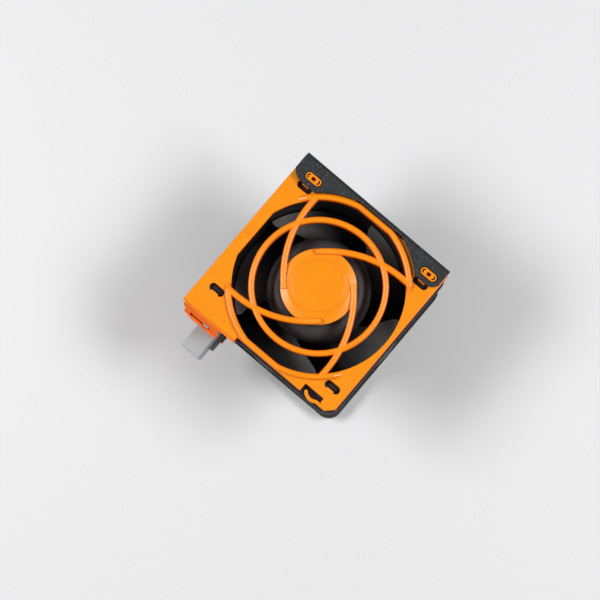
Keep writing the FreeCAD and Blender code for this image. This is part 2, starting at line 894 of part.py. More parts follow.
def locating_finger():
    """Spring finger: round root knuckle, straight neck, bowed arm and round tip."""
    half = finger_w / 2
    neck_end = vec(finger_pivot_x - finger_neck_l, finger_pivot_y)
    crest = vec(finger_pivot_x - finger_crest_l, finger_pivot_y - finger_bow)
    tip = vec(finger_pivot_x - finger_tip_l, finger_pivot_y + finger_tip_rise)
    bow = Part.Circle(neck_end, crest, tip)
    centre = bow.Center
    band = Part.makeCylinder(bow.Radius + half, plate_t, vec(centre.x, centre.y, plate_bottom))
    hollow = Part.makeCylinder(bow.Radius - half, plate_t, vec(centre.x, centre.y, plate_bottom))
    ends = [centre + (point - centre).normalize() * 2 * bow.Radius for point in (tip, crest, neck_end)]
    wedge = prism([(point.x, point.y) for point in [centre] + ends], plate_bottom, plate_top)
    arm = band.cut(hollow).common(wedge)
    neck = block(neck_end.x, finger_pivot_x, finger_pivot_y - half, finger_pivot_y + half, plate_bottom,
                 plate_top)
    rounds = [cylinder(half, plate_bottom, plate_top, point.x, point.y) for point in (neck_end, tip)]
    knuckle = cylinder(finger_knuckle_r, plate_bottom, plate_top, finger_pivot_x, finger_pivot_y)
    return fused([arm, neck, knuckle] + rounds)


def peg_crescent(x, side, z0, z1):
    """Half-ring well that follows the rounded end of a peg."""
    outer = cylinder(peg_crescent_r, z0, z1, x, peg_y)
    outer = outer.cut(cylinder(peg_crescent_r - peg_crescent_w, z0 - OVER, z1 + OVER, x, peg_y))
    low, high = sorted((x, x - side * peg_l))
    return outer.cut(block(low, high, peg_y - peg_w, peg_y + peg_w, z0 - OVER, z1 + OVER))


def pegs():
    """Two obround pegs for the pad, each with a square well between two crescent wells."""
    top = plate_top + pad_t - peg_drop
    floor = top - peg_well_depth
    well_x, well_y = peg_well_l / 2, peg_well_w / 2
    solids = []
    for x in (peg_left_x, peg_right_x):
        peg = obround(x, peg_y, peg_l, peg_w, plate_top - plate_edge_r, top)
        peg = peg.cut(block(x - well_x, x + well_x, peg_y - well_y, peg_y + well_y, floor, top + OVER))
        for side in (-1, 1):
            peg = peg.cut(peg_crescent(x + side * (peg_l - peg_w) / 2, side, floor, top + OVER))
        solids.append(peg)
    return solids


def tower_outline(wall_y):
    """Plan of the connector roof, its free end cut back and scalloped."""
    corner = (tower_x0, -half_w - tower_corner_y)
    heel = (tower_x0 + tower_corner_l, tower_y + tower_heel_y)
    return [(tower_x0, wall_y), corner, heel, (tower_x0 + tower_heel_l, tower_y), (tower_x1, tower_y),
            (tower_x1, wall_y)]


def scallops(outline, z0, z1):
    start, end = vec(*outline[1]), vec(*outline[2])
    along = (end - start).normalize()
    outward = vec(along.y, -along.x)
    cuts = []
    for share in scallop_shares:
        place = start + (end - start) * share + outward * (scallop_r - scallop_d)
        cuts.append(cylinder(scallop_r, z0, z1, place.x, place.y))
    return cuts


def connector_roof(wall_y, roof_bottom):
    """Roof over the plug: a slope down to a flat strip, with a slit, its eye and a latch window."""
    outline = tower_outline(wall_y)
    roof = prism(outline, roof_bottom, plate_top)
    slope_end = plate_top - tower_slope_drop
    strip_top = plate_top - strip_drop
    side = tower_x0 - OVER
    slope_y = -half_w - tower_slope_over
    cut = Part.Face(polygon([(side, slope_y, plate_top), (side, latch_line_y, slope_end),
                             (side, latch_line_y, strip_top), (side, tower_y - OVER, strip_top),
                             (side, tower_y - OVER, plate_top + OVER), (side, slope_y, plate_top + OVER)]))
    roof = roof.cut(cut.extrude(vec(tower_x1 - tower_x0 + 2 * OVER, 0)))
    low = roof_bottom - OVER
    floor = strip_top - slit_depth
    half = window_w / 2
    slit = block(window_x0, window_x1, latch_line_y - half, latch_line_y + half, floor, plate_top)
    eye = cylinder(window_eye / 2, floor, plate_top, window_x0, latch_line_y)
    half = latch_t / 2
    latch_gap = block(window_x1 - latch_w - plug_seat, window_x1, latch_line_y - half, latch_line_y + half,
                      low, plate_top)
    for shape in [slit, eye, latch_gap] + scallops(outline, low, plate_top + OVER):
        roof = roof.cut(shape)
    return roof


def connector_bay():
    """Skirt, sloped roof with its window, and the cradle that holds the plug body."""
    wall_y = -half_w - plug_seat / 2
    roof_bottom = plug_top + plug_seat
    skirt = block(plate_x0 + plate_edge_r, skirt_x1, skirt_y, wall_y, plate_top - skirt_drop,
                  plate_top - plate_edge_r)
    floor_top = plug_top - plug_h - plug_foot_h - plug_seat
    floor_bottom = floor_top - cradle_t
    foot_x = plug_x1 + plug_foot_w + plug_seat
    side_x = plug_x0 - plug_seat
    cradle_x = side_x - cradle_side
    side = block(cradle_x, side_x, tower_y, wall_y, floor_bottom, roof_bottom + OVER / 2)
    floor = block(cradle_x, plug_x1, tower_y, wall_y, floor_bottom, floor_top)
    lip_y = -half_w - lip_over
    shelf = block(plug_x1 - OVER, foot_x + lip_w, lip_y, wall_y, floor_bottom, floor_top)
    lip = block(foot_x, foot_x + lip_w, lip_y, wall_y, floor_bottom, floor_top + lip_h)
    brace_x = tower_x0 + bay_wall * 2.5
    brace = prism([(brace_x, wall_y), (cradle_x, tower_y), (side_x, tower_y), (side_x, wall_y)], floor_bottom,
                  roof_bottom + OVER / 2)
    return [skirt, connector_roof(wall_y, roof_bottom), side, floor, shelf, lip, brace]


def guard_carrier():
    plate = guard_plate()
    bars = bead_pieces() + [bar_arc(ring_w, rib_rise, ring_r, 0.0, 360.0)]
    bars += around(spiral_rib(), rib_count)
    shape = fused([plate, hub_disc()] + bars)
    shape = shape.cut(finger_space())
    return fused([shape] + pegs() + connector_bay())


# ---------------------------------------------------------------- plug body and terminals
def plug_housing():
    body = block(plug_x0, plug_x1, plug_y0, plug_y1, plug_top - plug_h - plug_foot_h, plug_top)
    nose = edges_where(body, lambda box: box.YMax < plug_y0 + plug_edge)
    body = body.makeChamfer(plug_edge, nose)
    foot_bottom = plug_top - plug_h - plug_foot_h
    foot = block(plug_x1 - plug_edge, plug_x1 + plug_foot_w, -half_w - plug_foot_reach, -half_w - plug_seat,
                 foot_bottom, foot_bottom + plug_foot_h)
    latch_x1 = window_x1 - plug_seat
    half = (latch_t - plug_seat) / 2
    latch = block(latch_x1 - latch_w + plug_seat, latch_x1, latch_line_y - half, latch_line_y + half,
                  plug_top - plug_edge, plate_top - tower_slope_drop + plug_edge)
    shape = fused([body, foot, latch])
    half = cavity_w / 2
    for column in (0, 1):
        for row in (0, 1):
            x, z = cavity_centre(column, row)
            cavity = block(x - half, x + half, plug_y0 - OVER, plug_y0 + cavity_depth, z - half, z + half)
            start = vec(x, plug_y0 + OVER, z)
            hole = Part.makeCylinder(lead_r + fit_gap, plug_y1 - plug_y0, start, vec(0, 1, 0))
            shape = shape.cut(cavity).cut(hole)
    return shape


def terminals():
    """Box contacts, one in each cavity, with a crimp barrel towards the lead."""
    solids = []
    half = terminal_w / 2
    inner = half - terminal_wall
    y0 = plug_y0 + terminal_inset
    y1 = plug_y0 + cavity_depth
    for column in (0, 1):
        for row in (0, 1):
            x, z = cavity_centre(column, row)
            box = block(x - half, x + half, y0, y1, z - half, z + half)
            box = box.cut(block(x - inner, x + inner, y0 - OVER, y1 - terminal_w, z - inner, z + inner))
            solids.append(box)
    return Part.makeCompound(solids)


def lead(index):
    return tube_along(lead_path(index), lead_r, lead_bends)


# ---------------------------------------------------------------- rubber pieces
def pad_outline():
    """Plan of the pad: a lobe round each peg, the long edge a little out of square."""
    left = [(pad_left_x, peg_y - pad_lobe_side)] + [(peg_left_x + x, peg_y + y) for x, y in pad_left_lobe]
    right = [(peg_right_x + x, peg_y + y) for x, y in pad_right_lobe] + [(pad_right_x, peg_y - pad_lobe_side)]
    return [(pad_left_x, pad_left_y)] + left + right + [(pad_right_x, pad_right_y)]


def pad_clearance(top):
    """Room for the guard's bead: an arc on each side of the middle and a straight run between."""
    bead_outer = bead_flat_y + bead_w / 2 + pad_bead_gap
    low, high = plate_top - OVER, top + OVER
    cuts = []
    for side, gap in ((-1, pad_arc_gap_left), (1, pad_arc_gap_right)):
        radius = bead_r + bead_w / 2 + gap
        x0, x1 = sorted((0.0, side * radius))
        cuts.append(cylinder(radius, low, high).common(block(x0, x1, 0.0, bead_outer, low, high)))
    return cuts


def pad():
    """Flat damping pad over the pegs, with a strip that hangs past the plate's edge."""
    top = plate_top + pad_t
    sheet = prism(pad_outline(), plate_top, top)
    lip_y = plate_y1 + pad_lip_gap
    corners = [(pad_left_x, lip_y), (pad_right_x, lip_y), (pad_right_x, pad_right_y), (pad_left_x, pad_left_y)]
    lip = prism(corners, frame_d + pad_lip_gap, plate_top)
    left, right, far = pad_left_x - OVER, pad_right_x + OVER, pad_left_y + OVER
    edge = [(left, pad_left_y - pad_step_w), (right, pad_right_y - pad_step_w), (right, far), (left, far)]
    step = prism(edge, top - pad_step_h, top + OVER)
    shape = fused([sheet, lip])
    for cut in [step] + pad_clearance(top):
        shape = shape.cut(cut)
    for x in (peg_left_x, peg_right_x):
        grown = 2 * peg_gap
        shape = shape.cut(obround(x, peg_y, peg_l + grown, peg_w + grown, plate_top - OVER, top + OVER))
    return shape


def isolator(sx, sy):
    """Rubber mount: pad under the plate, tongue in the slot, neck and bulb in the frame's hole."""
    x, y = sx * fix_half, sy * fix_half
    middle_x, middle_y = (sx * slot_x + x) / 2, (sy * slot_y + y) / 2
    half = isolator_half_w
    seat = block(middle_x - half, middle_x + half, middle_y - half, middle_y + half, frame_d, plate_bottom)
    upright = edges_where(seat, lambda box: box.ZLength > isolator_t / 2)
    seat = seat.makeFillet(isolator_corner_r, upright)
    seat = seat.cut(cylinder(inlet_r + pad_lip_gap, frame_d - OVER, plate_bottom + OVER))
    tongue_y = sy * (slot_y - tooth_depth(sy) / 2)
    tongue = obround(sx * slot_x, tongue_y, isolator_tongue_l, isolator_tongue_w,
                     plate_bottom - isolator_t / 2, plate_top - isolator_tongue_drop)
    tongue = tongue.cut(cylinder(inlet_r, 0.0, plate_bottom))
    flange_bottom = frame_d - flange_t
    neck = cylinder(isolator_neck_r, flange_bottom - OVER, frame_d + isolator_t / 2, x, y)
    bulb_top = flange_bottom - fit_gap
    bulb_bottom = bulb_top - isolator_bulb_h
    bulb = Part.makeCone(isolator_tail_r, isolator_bulb_r, isolator_bulb_h, vec(x, y, bulb_bottom))
    tail_bottom = bulb_bottom - isolator_tail_h
    tail = cylinder(isolator_tail_r, tail_bottom, bulb_top, x, y)
    return fused([seat, tongue, neck, bulb, tail])


def isolators():
    return Part.makeCompound([isolator(sx, sy) for sx in (-1, 1) for sy in (-1, 1)])


def main():
    os.makedirs("parts", exist_ok=True)
    save("fan_frame", fan_frame())
    save("motor_label", cylinder(label_r, 0.0, label_t))
    save("bearing_sleeve", bearing_sleeve())
    for name, z0 in (("rear", rear_bearing_z), ("front", front_bearing_z)):
        outer, inner, balls, cage, shields = bearing_parts(z0)
        save(name + "_bearing_outer_ring", outer)
        save(name + "_bearing_inner_ring", inner)
        save(name + "_bearing_balls", balls)
        save(name + "_bearing_cage", cage)
        save(name + "_bearing_shields", shields)
    save("shaft", shaft())
    save("shaft_retaining_clip", shaft_clip())
    save("stator_core", stator_core())
    save("front_insulator", insulator(True))
    save("rear_insulator", insulator(False))
    save("stator_coils", coils())
    save("circuit_board", board())
    save("hall_sensor", board_part(hall_size, board_r - hall_size[1], 0.0))
    save("driver_chip", board_part(chip_size, (board_r + collar_r) / 2, 180.0))
    save("supply_capacitor", capacitor())
    save("chip_resistors", resistors())
    save("impeller", impeller())
    save("rotor_yoke", rotor_yoke())
    save("rotor_magnet", rotor_magnet())
    save("hub_bush", hub_bush())
    save("preload_spring", preload_spring())
    save("guard_carrier", guard_carrier())
    save("locating_finger", locating_finger())
    save("plug_housing", plug_housing())
    save("plug_terminals", terminals())
    for index in range(lead_count):
        save("lead_wire_" + str(index + 1), lead(index))
    save("damping_pad", pad())
    save("corner_isolators", isolators())


main()
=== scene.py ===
import bpy
import math
import numpy as np
from mathutils import Matrix, Vector

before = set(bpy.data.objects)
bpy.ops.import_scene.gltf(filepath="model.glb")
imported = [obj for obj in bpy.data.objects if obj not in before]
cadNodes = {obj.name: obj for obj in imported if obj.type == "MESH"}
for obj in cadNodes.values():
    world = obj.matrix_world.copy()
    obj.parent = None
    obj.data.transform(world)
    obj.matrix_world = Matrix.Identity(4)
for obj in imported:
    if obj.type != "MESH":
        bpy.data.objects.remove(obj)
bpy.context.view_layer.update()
mm = 0.001
print("frame loaded:", len(cadNodes), "nodes")


# shader maths: a socket that can be added, multiplied and mixed
class Socket:
    def __init__(self, shader, link):
        self.shader = shader
        self.link = link

    def calc(self, operation, *others):
        node = self.shader.node("ShaderNodeMath", {"operation": operation},
                                dict(enumerate((self,) + others)))
        return Socket(self.shader, node.outputs[0])

    def __add__(self, other):
        return self.calc("ADD", other)

    def __radd__(self, other):
        return self.calc("ADD", other)

    def __mul__(self, other):
        return self.calc("MULTIPLY", other)

    def __rmul__(self, other):
        return self.calc("MULTIPLY", other)

    def __sub__(self, other):
        return self.calc("SUBTRACT", other)

    def __rsub__(self, other):
        return self.calc("MULTIPLY", -1.0) + other

    def ramp(self, low, high):
        # 0 at low, 1 at high, smooth between, and low may be the larger
        node = self.shader.node("ShaderNodeMapRange", {"interpolation_type": "SMOOTHSTEP"},
                                {"Value": self, "From Min": low, "From Max": high})
        return Socket(self.shader, node.outputs["Result"])


class Shader:
    def __init__(self, name):
        self.material = bpy.data.materials.new(name)
        self.material.use_nodes = True
        self.tree = self.material.node_tree
        self.tree.nodes.clear()
        output = self.node("ShaderNodeOutputMaterial")
        self.body = self.node("ShaderNodeBsdfPrincipled")
        self.tree.links.new(self.body.outputs[0], output.inputs["Surface"])
        self.place = Socket(self, self.node("ShaderNodeTexCoord").outputs["Object"])

    def node(self, kind, settings=None, sockets=None):
        made = self.tree.nodes.new(kind)
        for key, value in (settings or {}).items():
            setattr(made, key, value)
        for key, value in (sockets or {}).items():
            if isinstance(value, Socket):
                self.tree.links.new(value.link, made.inputs[key])
            elif value is not None:
                made.inputs[key].default_value = value
        return made

    def noise(self, scale, detail=3.0, roughness=0.5, stretch=None):
        where = self.place
        if stretch:
            mapping = self.node("ShaderNodeMapping", {}, {"Vector": where, "Scale": stretch})
            where = Socket(self, mapping.outputs[0])
        made = self.node("ShaderNodeTexNoise", {},
                         {"Vector": where, "Scale": scale, "Detail": detail, "Roughness": roughness})
        return Socket(self, made.outputs["Fac"])

    def cells(self, scale):
        # distance to the nearest of many scattered points
        made = self.node("ShaderNodeTexVoronoi", {"feature": "F1"}, {"Vector": self.place, "Scale": scale})
        return Socket(self, made.outputs["Distance"])

    def axes(self):
        made = self.node("ShaderNodeSeparateXYZ", {}, {0: self.place})
        return [Socket(self, made.outputs[k]) for k in range(3)]

    def radius(self):
        # distance from the rotor's axis
        x, y, _ = self.axes()
        return (x * x + y * y).calc("SQRT")

    def blend(self, share, low, high):
        made = self.node("ShaderNodeMix", {"data_type": "RGBA"}, {"Factor": share})
        for key, value in ((6, low), (7, high)):
            if isinstance(value, Socket):
                self.tree.links.new(value.link, made.inputs[key])
            else:
                made.inputs[key].default_value = (*value, 1.0)
        return Socket(self, made.outputs[2])

    def edgeNormal(self, width):
        return Socket(self, self.node("ShaderNodeBevel", {"samples": 6}, {"Radius": width}).outputs[0])

    def edgeShare(self, soft):
        # near an edge the rounded normal leaves the true one
        true = Socket(self, self.node("ShaderNodeNewGeometry").outputs["Normal"])
        made = self.node("ShaderNodeVectorMath", {"operation": "DOT_PRODUCT"}, {0: soft, 1: true})
        return (1.0 - Socket(self, made.outputs["Value"])).ramp(0.02, 0.3)

    def facing(self):
        # 1 on a level surface, 0 on an upright one
        normal = Socket(self, self.node("ShaderNodeNewGeometry").outputs["Normal"])
        made = self.node("ShaderNodeSeparateXYZ", {}, {0: normal})
        return Socket(self, made.outputs[2]).calc("ABSOLUTE")

    def bump(self, height, depth, strength=1.0, normal=None):
        made = self.node("ShaderNodeBump", {},
                         {"Height": height, "Distance": depth, "Strength": strength, "Normal": normal})
        return Socket(self, made.outputs[0])

    def finish(self, colour, rough, normal=None, metal=0.0, gloss=None):
        # gloss is the clear coat's weight and roughness
        inputs = self.body.inputs
        self.tree.links.new(colour.link, inputs["Base Color"])
        self.tree.links.new(rough.link, inputs["Roughness"])
        inputs["Metallic"].default_value = metal
        if normal:
            self.tree.links.new(normal.link, inputs["Normal"])
        if gloss:
            inputs["Coat Weight"].default_value, inputs["Coat Roughness"].default_value = gloss
        return self.material


def scaled(colour, share):
    return tuple(min(c * share, 1.0) for c in colour)


def dress(material, *names):
    for name in names:
        slots = cadNodes[name].data.materials
        slots.clear()
        slots.append(material)


# orange carrier: satin plastic, with painted shade making it redder on its sides and below the plate, edges
# paler from wear and painted highlight, and a painted sheen on the hub disc's rim
carrier = {
    "colour": (0.97, 0.292, 0.0012), "paleWearAndSheen": (0.97, 0.35, 0.02), "paintedShadeTone": (0.91, 0.135, 0.0006),
    "wellShadeTone": (0.36, 0.022, 0.001), "cloud": 160.0, "cloudLow": 0.95,
    "flow": 900.0, "flowStretch": (1.0, 0.35, 1.0), "flowShare": 0.25, "flowTone": 1.05,
    "roughness": 0.27, "roughCloud": 0.12, "roughPits": 0.06, "pits": 1500.0,
    "grain": 5200.0, "grainDepth": 0.012 * mm, "edge": 0.16 * mm, "edgeWearAndHighlight": 0.28,
    "top": 40.3 * mm, "shade": 0.9, "shadeFrom": 0.05 * mm, "shadeTo": 0.9 * mm,
    "levelFrom": 0.97, "levelTo": 0.55,
    "pegX": 19.5 * mm, "pegY": 23.5 * mm, "pegTop": 42.1 * mm, "pegFade": 0.1 * mm, "pegShare": 0.85,
    "wellLow": (0.12 * mm, 0.2 * mm), "wellHigh": (0.1 * mm, 0.35 * mm),
    "rimIn": 10.4 * mm, "rimOut": 12.1 * mm, "rimFadeIn": 0.4 * mm, "rimFadeOut": 0.5 * mm,
    "rimSheen": 0.22, "rimSheenCloud": 0.3,
}


def carrierLook():
    s = Shader("orangePlastic")
    cloud = s.noise(carrier["cloud"], 4.0, 0.6)
    flow = s.noise(carrier["flow"], 3.0, 0.5, stretch=carrier["flowStretch"])
    grain = s.noise(carrier["grain"], 2.0, 0.6)
    pits = s.cells(carrier["pits"]).ramp(0.25, 0.1)
    soft = s.edgeNormal(carrier["edge"])
    top = carrier["top"]
    tone = s.blend(cloud.ramp(0.3, 0.7), scaled(carrier["colour"], carrier["cloudLow"]), carrier["colour"])
    tone = s.blend(flow.ramp(0.45, 0.75) * carrier["flowShare"], tone,
                   scaled(carrier["colour"], carrier["flowTone"]))
    # paler edges: partly wear and partly painted highlight
    tone = s.blend(s.edgeShare(soft) * carrier["edgeWearAndHighlight"], tone, carrier["paleWearAndSheen"])
    # painted shade: redder below the plate's top and on upright sides
    x, y, height = s.axes()
    low = height.ramp(top - carrier["shadeFrom"], top - carrier["shadeTo"])
    side = s.facing().ramp(carrier["levelFrom"], carrier["levelTo"])
    shade = 1.0 - (1.0 - low * carrier["shade"]) * (1.0 - side * carrier["shade"])
    tone = s.blend(shade, tone, carrier["paintedShadeTone"])
    # painted shade: dark wells in the two pad pegs
    fade = carrier["pegFade"]
    well = x.calc("ABSOLUTE").ramp(carrier["pegX"], carrier["pegX"] + fade)
    well = well * y.ramp(carrier["pegY"], carrier["pegY"] + fade)
    well = well * height.ramp(*(top + rise for rise in carrier["wellLow"]))
    well = well * height.ramp(*(carrier["pegTop"] - drop for drop in carrier["wellHigh"]))
    tone = s.blend(well * carrier["pegShare"], tone, carrier["wellShadeTone"])
    # painted sheen: a paler slope round the hub disc
    rimSheenShare = s.radius().ramp(carrier["rimIn"], carrier["rimIn"] + carrier["rimFadeIn"])
    rimSheenShare = rimSheenShare * s.radius().ramp(carrier["rimOut"] + carrier["rimFadeOut"], carrier["rimOut"])
    tone = s.blend(rimSheenShare * (carrier["rimSheen"] + carrier["rimSheenCloud"] * cloud), tone, carrier["paleWearAndSheen"])
    rough = carrier["roughness"] + cloud * carrier["roughCloud"] + pits * carrier["roughPits"]
    normal = s.bump(grain + flow * 0.6, carrier["grainDepth"], 0.7, soft)
    return s.finish(tone, rough, normal)


dress(carrierLook(), "guard_carrier", "locating_finger")
print("carrier dressed")

# black plastics: the frame, and the impeller with painted light greying its blades towards their leading
# tips
blackFrame = {
    "colour": (0.0165, 0.0165, 0.0178), "worn": (0.045, 0.046, 0.050), "roughness": 0.46,
    "grain": 4200.0, "grainDepth": 0.02 * mm, "edge": 0.25 * mm, "tipLight": None,
}
blackRotor = {
    "colour": (0.047, 0.0455, 0.0455), "worn": (0.09, 0.09, 0.09), "roughness": 0.40,
    "grain": 5200.0, "grainDepth": 0.010 * mm, "edge": 0.18 * mm,
    "tipLight": (0.20, 0.195, 0.195), "tipLightShare": 0.55, "tipLightCloud": 0.35,
    "tipLightLow": 17.0 * mm, "tipLightHigh": 26.0 * mm, "tipLightIn": 17.4 * mm, "tipLightOut": 22.0 * mm,
}
blackBoth = {"cloud": 220.0, "specks": 1400.0, "patches": 420.0, "wear": 0.35, "roughCloud": 0.16}


def blackLook(name, look):
    s = Shader(name)
    cloud = s.noise(blackBoth["cloud"], 4.0, 0.6)
    grain = s.noise(look["grain"], 2.0, 0.6)
    specks = s.cells(blackBoth["specks"]).ramp(0.16, 0.05)
    specks = specks * s.noise(blackBoth["patches"], 1.0).ramp(0.5, 0.65)
    soft = s.edgeNormal(look["edge"])
    tone = s.blend(cloud, scaled(look["colour"], 0.8), scaled(look["colour"], 1.2))
    tone = s.blend(s.edgeShare(soft) * blackBoth["wear"], tone, look["worn"])
    tone = s.blend(specks * blackBoth["wear"], tone, look["worn"])
    if look["tipLight"]:
        # painted light greys the blades towards their leading tips
        _, _, height = s.axes()
        tipLight = height.ramp(look["tipLightLow"], look["tipLightHigh"])
        tipLight = tipLight * s.radius().ramp(look["tipLightIn"], look["tipLightOut"])
        tone = s.blend(tipLight * (look["tipLightShare"] + look["tipLightCloud"] * cloud), tone, look["tipLight"])
    rough = look["roughness"] + cloud * blackBoth["roughCloud"]
    return s.finish(tone, rough, s.bump(grain, look["grainDepth"], 0.8, soft))


dress(blackLook("framePlastic", blackFrame), "fan_frame")
dress(blackLook("impellerPlastic", blackRotor), "impeller")
print("frame and impeller dressed")

# rubber: the flecked pad and the four mounts
padFoam = {
    "colour": (0.0185, 0.0195, 0.0225), "fleck": (0.22, 0.225, 0.235), "roughness": 0.80,
    "cell": 2200.0, "depth": 0.06 * mm, "edge": 0.2 * mm,
}
mountRubber = {
    "colour": (0.0085, 0.0082, 0.0082), "fleck": (0.022, 0.022, 0.0225), "roughness": 0.7,
    "cell": 1800.0, "depth": 0.03 * mm, "edge": 0.3 * mm,
}
rubberBoth = {"coarse": 650.0, "fleckShare": 0.7, "fleckShine": 0.18, "wear": 0.3}


def rubberLook(name, look):
    s = Shader(name)
    cell = s.cells(look["cell"])
    coarse = s.noise(rubberBoth["coarse"], 4.0, 0.65)
    grit = s.noise(look["cell"] * 1.3, 2.0, 0.7)
    soft = s.edgeNormal(look["edge"])
    fleck = cell.ramp(0.36, 0.10) * coarse.ramp(0.40, 0.60)
    tone = s.blend(coarse, scaled(look["colour"], 0.75), scaled(look["colour"], 1.3))
    tone = s.blend(fleck * rubberBoth["fleckShare"], tone, look["fleck"])
    tone = s.blend(s.edgeShare(soft) * rubberBoth["wear"], tone, look["fleck"])
    rough = look["roughness"] - fleck * rubberBoth["fleckShine"]
    return s.finish(tone, rough, s.bump(cell + grit, look["depth"], 0.9, soft))


dress(rubberLook("padRubber", padFoam), "damping_pad")
dress(rubberLook("mountRubber", mountRubber), "corner_isolators")
print("rubber dressed")

# plug and leads
plug = {
    "colour": (0.425, 0.45, 0.46), "dirt": (0.28, 0.285, 0.28), "dirtShare": 0.25, "cloud": 350.0,
    "grain": 4600.0, "grainDepth": 0.010 * mm, "roughness": 0.42, "roughCloud": 0.12,
    "edge": 0.12 * mm,
}
leads = {
    "colours": {"lead_wire_1": (0.50, 0.014, 0.012), "lead_wire_2": (0.012, 0.012, 0.013),
                "lead_wire_3": (0.62, 0.40, 0.02), "lead_wire_4": (0.02, 0.06, 0.36)},
    "cloud": 700.0, "grain": 3000.0, "grainDepth": 0.012 * mm, "roughness": 0.34, "roughCloud": 0.12,
    "gloss": (0.2, 0.2),
}


def plugLook():
    s = Shader("plugPlastic")
    cloud = s.noise(plug["cloud"], 4.0, 0.6)
    grain = s.noise(plug["grain"], 2.0, 0.6)
    tone = s.blend(cloud, scaled(plug["colour"], 0.93), scaled(plug["colour"], 1.06))
    tone = s.blend(cloud.ramp(0.56, 0.7) * plug["dirtShare"], tone, plug["dirt"])
    normal = s.bump(grain, plug["grainDepth"], 0.6, s.edgeNormal(plug["edge"]))
    return s.finish(tone, plug["roughness"] + cloud * plug["roughCloud"], normal)


def leadLook(name, colour):
    s = Shader(name)
    cloud = s.noise(leads["cloud"], 3.0, 0.6)
    tone = s.blend(cloud, scaled(colour, 0.85), scaled(colour, 1.12))
    normal = s.bump(s.noise(leads["grain"], 2.0), leads["grainDepth"], 0.5)
    rough = leads["roughness"] + cloud * leads["roughCloud"]
    return s.finish(tone, rough, normal, gloss=leads["gloss"])


dress(plugLook(), "plug_housing")
for leadName, leadColour in leads["colours"].items():
    dress(leadLook(leadName + "Skin", leadColour), leadName)
print("plug and leads dressed")

# metals, turned on a lathe or drawn
metals = {
    "shaftSteel": {"colour": (0.58, 0.585, 0.60), "roughness": 0.24, "turned": True,
                   "nodes": ("shaft", "front_bearing_shields", "rear_bearing_shields")},
    "bearingSteel": {"colour": (0.70, 0.71, 0.73), "roughness": 0.14, "turned": True,
                     "nodes": ("front_bearing_outer_ring", "front_bearing_inner_ring", "front_bearing_balls",
                               "rear_bearing_outer_ring", "rear_bearing_inner_ring", "rear_bearing_balls")},
    "yokeSteel": {"colour": (0.40, 0.41, 0.43), "roughness": 0.33, "turned": True,
                  "nodes": ("rotor_yoke", "shaft_retaining_clip", "preload_spring")},
    "sleeveBrass": {"colour": (0.70, 0.50, 0.20), "roughness": 0.28, "turned": True,
                    "nodes": ("bearing_sleeve", "hub_bush")},
    "contactMetal": {"colour": (0.76, 0.60, 0.30), "roughness": 0.25, "turned": False,
                     "nodes": ("plug_terminals",)},
    "canMetal": {"colour": (0.66, 0.67, 0.69), "roughness": 0.3, "turned": False,
                 "nodes": ("supply_capacitor",)},
}
metalMarks = {"cloud": 500.0, "lathe": 42000.0, "drawn": 3000.0, "drawnStretch": (0.1, 1.0, 1.0),
              "depth": 0.002 * mm, "edge": 0.1 * mm, "roughCloud": 0.14}


def metalLook(name, look):
    s = Shader(name)
    cloud = s.noise(metalMarks["cloud"], 3.0, 0.6)
    if look["turned"]:
        # lathe rings: fine waves over height and distance from the axis
        _, _, height = s.axes()
        marks = ((height + s.radius()) * metalMarks["lathe"] + cloud * 3.0).calc("SINE")
    else:
        marks = s.noise(metalMarks["drawn"], 2.0, 0.6, stretch=metalMarks["drawnStretch"])
    tone = s.blend(cloud, scaled(look["colour"], 0.85), scaled(look["colour"], 1.08))
    normal = s.bump(marks, metalMarks["depth"], 0.5, s.edgeNormal(metalMarks["edge"]))
    return s.finish(tone, look["roughness"] + cloud * metalMarks["roughCloud"], normal, metal=1.0)


for metalName, metalSet in metals.items():
    dress(metalLook(metalName, metalSet), *metalSet["nodes"])
print("metals dressed")

# motor: laminations, magnet, windings, insulators, cages, board, chips and label
lamination = {"sheet": 0.5 * mm, "gap": (0.10, 0.085, 0.07), "steel": (0.30, 0.30, 0.31),
              "rust": (0.28, 0.17, 0.10), "rustShare": 0.4, "cloud": 600.0, "roughness": 0.42,
              "roughCloud": 0.15, "depth": 0.03 * mm, "edge": 0.08 * mm}
magnet = {"dark": (0.045, 0.044, 0.046), "light": (0.085, 0.083, 0.086), "cloud": 260.0,
          "roughness": 0.6, "roughCloud": 0.15, "grit": 3500.0, "depth": 0.03 * mm, "edge": 0.15 * mm}
winding = {"wire": 0.22 * mm, "gap": (0.16, 0.045, 0.015), "wireTone": (0.62, 0.24, 0.085),
           "bright": (0.72, 0.33, 0.12), "brightShare": 0.4, "cloud": 900.0, "roughness": 0.3,
           "roughCloud": 0.12, "depth": 0.05 * mm, "edge": 0.3 * mm, "gloss": (0.4, 0.15)}
naturalPlastic = {"insulator": (0.70, 0.67, 0.56), "cage": (0.62, 0.55, 0.38), "cloud": 300.0,
                  "roughness": 0.45, "roughCloud": 0.1, "grain": 4000.0, "depth": 0.01 * mm,
                  "edge": 0.12 * mm}
board = {"mask": (0.010, 0.090, 0.030), "track": (0.022, 0.165, 0.060), "weaveTone": (0.05, 0.22, 0.09),
         "weave": 2600.0, "weaveShare": 0.3, "tracks": 420.0, "roughness": 0.32, "roughWeave": 0.05,
         "depth": 0.02 * mm, "gloss": (0.4, 0.12)}
chip = {"dark": (0.012, 0.012, 0.013), "light": (0.028, 0.028, 0.029), "cloud": 1500.0,
        "roughness": 0.5, "roughCloud": 0.15, "grain": 6000.0, "depth": 0.01 * mm, "edge": 0.1 * mm}
label = {"low": (0.70, 0.71, 0.72), "high": (0.80, 0.805, 0.81), "line": (0.10, 0.10, 0.11),
         "lineShare": 0.8, "lineIn": (13.9 * mm, 14.0 * mm), "lineOut": (14.3 * mm, 14.2 * mm),
         "cloud": 180.0, "fibre": 2400.0, "roughness": 0.36, "roughCloud": 0.1, "depth": 0.008 * mm,
         "gloss": (0.3, 0.25)}


